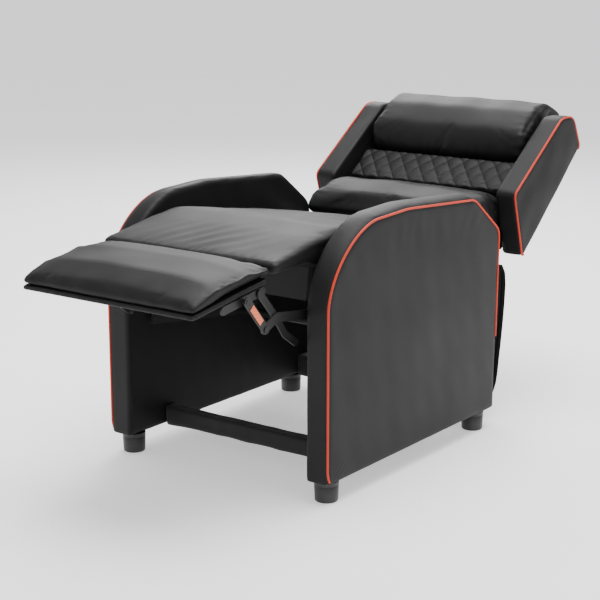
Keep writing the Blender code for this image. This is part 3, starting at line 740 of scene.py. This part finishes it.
def dress(material, edge, *nodes):
    """Give CAD parts their material and break their sharp edges."""
    for node in nodes:
        part = frame["nodes"][node]
        part.material_slots[0].material = material
        soften = part.modifiers.new("edge", "BEVEL")
        soften.width, soften.segments, soften.limit_method = edge, 2, "ANGLE"
        soften.harden_normals = True


dress(timber.material, 0.001, "left_arm_frame", "right_arm_frame")
dress(cloth.material, 0.001, "left_back_post", "right_back_post", "back_top_rail", "seat_front_rail",
      "seat_rear_rail", "left_seat_rail", "right_seat_rail")


# ---- Steel mechanism ----
# Pressed straps in satin black paint, greyer in patches where dust has settled, joined by
# domed rivets in the same paint. The seat springs are bare zinc wire.
steel = Recipe("painted_steel", Metallic=0.35, Specular_IOR_Level=0.5)
dust = steel.noise(35.0, 5.0, rough=0.6)
steel.feed(Base_Color=steel.mix(dust, (0.007, 0.007, 0.0075), (0.022, 0.022, 0.023)),
           Roughness=0.34 + dust * 0.25)
steel.bump(steel.noise(420.0, 3.0) * 0.5 + steel.noise(30.0, 2.0) * 0.5, 0.0003, 0.6)
zinc = Recipe("zinc_plate", Metallic=0.9)
stain = zinc.noise(60.0, 4.0)
zinc.feed(Base_Color=zinc.mix(stain, (0.20, 0.20, 0.21), (0.42, 0.42, 0.43)), Roughness=0.30 + stain * 0.25)
zinc.bump(stain, 0.0002, 0.5)
straps = [side + "_" + part for side in ("left", "right")
          for part in ("base_plate", "seat_plate", "front_swing_link", "rear_swing_link", "drive_link",
                       "back_bracket", "main_link", "cross_link", "front_link", "footrest_bracket")]
dress(steel.material, 0.0006, *straps, "torque_tube")
dress(zinc.material, 0.0004, "seat_spring_1", "seat_spring_2", "seat_spring_3")


RIVET_RADIUS = 0.0068


def rivet(name, body, x, depth, height, facing):
    """A domed head on a strap face at x, pointing along X. The fixed pivots' heads lie almost flush."""
    tall = 0.0006 if body == "base" else 0.0030
    profile = [(RIVET_RADIUS * out, tall * up) for out, up in
               ((0, 0), (1, 0), (1, 0.2), (0.94, 0.45), (0.72, 0.80), (0.40, 0.96), (0, 1))]
    turn(name, [(r, facing * along) for r, along in profile], (x, arm_front + depth, height), steel.material,
         body, "X", 20)


# Each rivet: the body it rides on, its depth and height, and how far out its strap's face lies.
JOINTS = {
    "front_swing_base": ("base", 0.0911, 0.3368, 0.2570), "front_swing_seat": ("seat", 0.200, 0.440, 0.2524),
    "rear_swing_base": ("base", 0.4111, 0.2968, 0.2570), "rear_swing_seat": ("seat", 0.520, 0.400, 0.2524),
    "main_rear": ("seat", 0.0599, 0.4280, 0.2478), "main_front": ("main_links", -0.1270, 0.4292, 0.2478),
    "cross": ("main_links", -0.0803, 0.4469, 0.2432), "cross_tail": ("cross_links", -0.007, 0.374, 0.2432),
    "bracket_rear": ("footrest", -0.135, 0.509, 0.2386), "bracket_front": ("footrest", -0.189, 0.502, 0.2386),
}
for side_sign, side_name in ((1, "right"), (-1, "left")):
    for joint_name, (body, depth, height, face) in JOINTS.items():
        rivet(side_name + "_rivet_" + joint_name, body, side_sign * face, depth, height, -side_sign)


# ---- Warning label and rubber stops ----
# A printed orange tag with plain bands hangs on the right front link. Rubber stops under
# the footrest cushion the steelwork when it closes.
print_ink = Recipe("printed_label", Roughness=0.45)
bands = print_ink.node("ShaderNodeTexWave", {"bands_direction": "Z", "wave_type": "BANDS"},
                       {"Vector": print_ink.place(), "Scale": 40.0, "Distortion": 2.0, "Detail": 1.0})
print_ink.feed(Base_Color=print_ink.mix(bands ** 6.0, (0.78, 0.15, 0.05), (0.80, 0.25, 0.13)))
print_ink.bump(print_ink.noise(80.0), 0.0002, 0.4)
dress(print_ink.material, 0.0003, "warning_label")
rubber = Recipe("black_rubber", Specular_IOR_Level=0.3)
rubber.feed(Base_Color=rubber.mix(rubber.noise(40.0, 4.0), (0.010, 0.010, 0.010), (0.022, 0.022, 0.022)),
            Roughness=0.60 + rubber.noise(60.0) * 0.2)
rubber.bump(rubber.noise(500.0), 0.0003, 0.5)
dress(rubber.material, 0.0010, "left_bumper", "right_bumper")


# ---- Rear panel and skirt ----
# Black nonwoven cloth closes the chair behind: one piece stapled to the back frame, and a loose
# one that hangs slack from it down to the rear rail, with bound side edges.
tape = Recipe("binding_tape", Specular_IOR_Level=0.2)
ribs = tape.noise(500.0, 2.0, (1, 6, 6))
tape.feed(Base_Color=tape.mix(ribs, (0.003, 0.003, 0.003), (0.008, 0.008, 0.008)), Roughness=0.7 + ribs * 0.2)
tape.bump(ribs, 0.0003, 0.6)
panel_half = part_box("rear_panel")[1][0]
panel = bpy.data.meshes.new_from_object(frame["nodes"]["rear_panel"])
panel_shape = bmesh.new()
panel_shape.from_mesh(panel)
bpy.data.meshes.remove(panel)
rear_panel = add_piece("rear_panel_cloth", panel_shape, cloth.material, None)
rear_panel.data.materials.clear()
rear_panel.data.materials.append(cloth.material)
remesh(rear_panel, 0.005)


def panel_slack(x, depth, height, facing):
    middle = np.cos(math.pi / 2 * np.clip(x / panel_half, -1, 1))
    lift = 0.0012 * waves(x, depth, height, 0.12, 81) * middle - 0.0008
    return 0 * x, facing[:, 1] * lift, facing[:, 2] * lift


reshape(rear_panel, panel_slack)
subdivide(rear_panel)
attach(rear_panel, "back")
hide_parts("rear_panel")

CLOTH_THICKNESS, BINDING_THICKNESS, BINDING_WIDTH = 0.0008, 0.0026, 0.013
SKIRT_COLUMNS = 48      # each side of the middle
SKIRT_LINE = [(0.7585, 0.0560), (0.8080, 0.0665), (0.8225, 0.0900), (0.8312, 0.1252), (0.8420, 0.1900),
              (0.8499, 0.2583), (0.8570, 0.3150), (0.8603, 0.3514), (0.8565, 0.3850), (0.8390, 0.4085)]
skirt_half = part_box("rear_skirt")[1][0] - 0.001
drop = evenly(SKIRT_LINE, 0.008, closed=False)
skirt_shape = bmesh.new()
rows = [[skirt_shape.verts.new((skirt_half * k / SKIRT_COLUMNS, arm_front + depth, height))
         for k in range(-SKIRT_COLUMNS, SKIRT_COLUMNS + 1)] for depth, height in drop]
for upper, lower in zip(rows, rows[1:]):
    for k in range(2 * SKIRT_COLUMNS):
        skirt_shape.faces.new((upper[k], upper[k + 1], lower[k + 1], lower[k]))
bmesh.ops.recalc_face_normals(skirt_shape, faces=skirt_shape.faces)
skirt = add_piece("rear_skirt_cloth", skirt_shape, cloth.material, None)


def skirt_hang(x, depth, height, facing):
    loose = np.clip((0.405 - height) / 0.08, 0, 1) * np.clip((height - 0.062) / 0.05, 0, 1)
    fold = 0.0035 * np.sin(x * 46 + 1.5 * waves(x, 0, height * 0.3, 0.3, 91)) * loose
    return 0 * x, fold + 0.0015 * waves(x, depth, height, 0.10, 92) * loose, 0 * x


reshape(skirt, skirt_hang)
binding_shape = bmesh.new()
binding_shape.from_mesh(skirt.data)
inside = [v for v in binding_shape.verts if abs(v.co.x) < skirt_half - BINDING_WIDTH]
bmesh.ops.delete(binding_shape, geom=inside, context="VERTS")
binding = add_piece("rear_skirt_binding", binding_shape, tape.material, None)
wrap = binding.modifiers.new("wrap", "SOLIDIFY")
wrap.thickness, wrap.offset = BINDING_THICKNESS, 0
bake(binding)
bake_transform(binding)
thick = skirt.modifiers.new("thick", "SOLIDIFY")
thick.thickness, thick.offset = CLOTH_THICKNESS, 0
bake(skirt)
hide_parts("rear_skirt")
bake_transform(skirt)
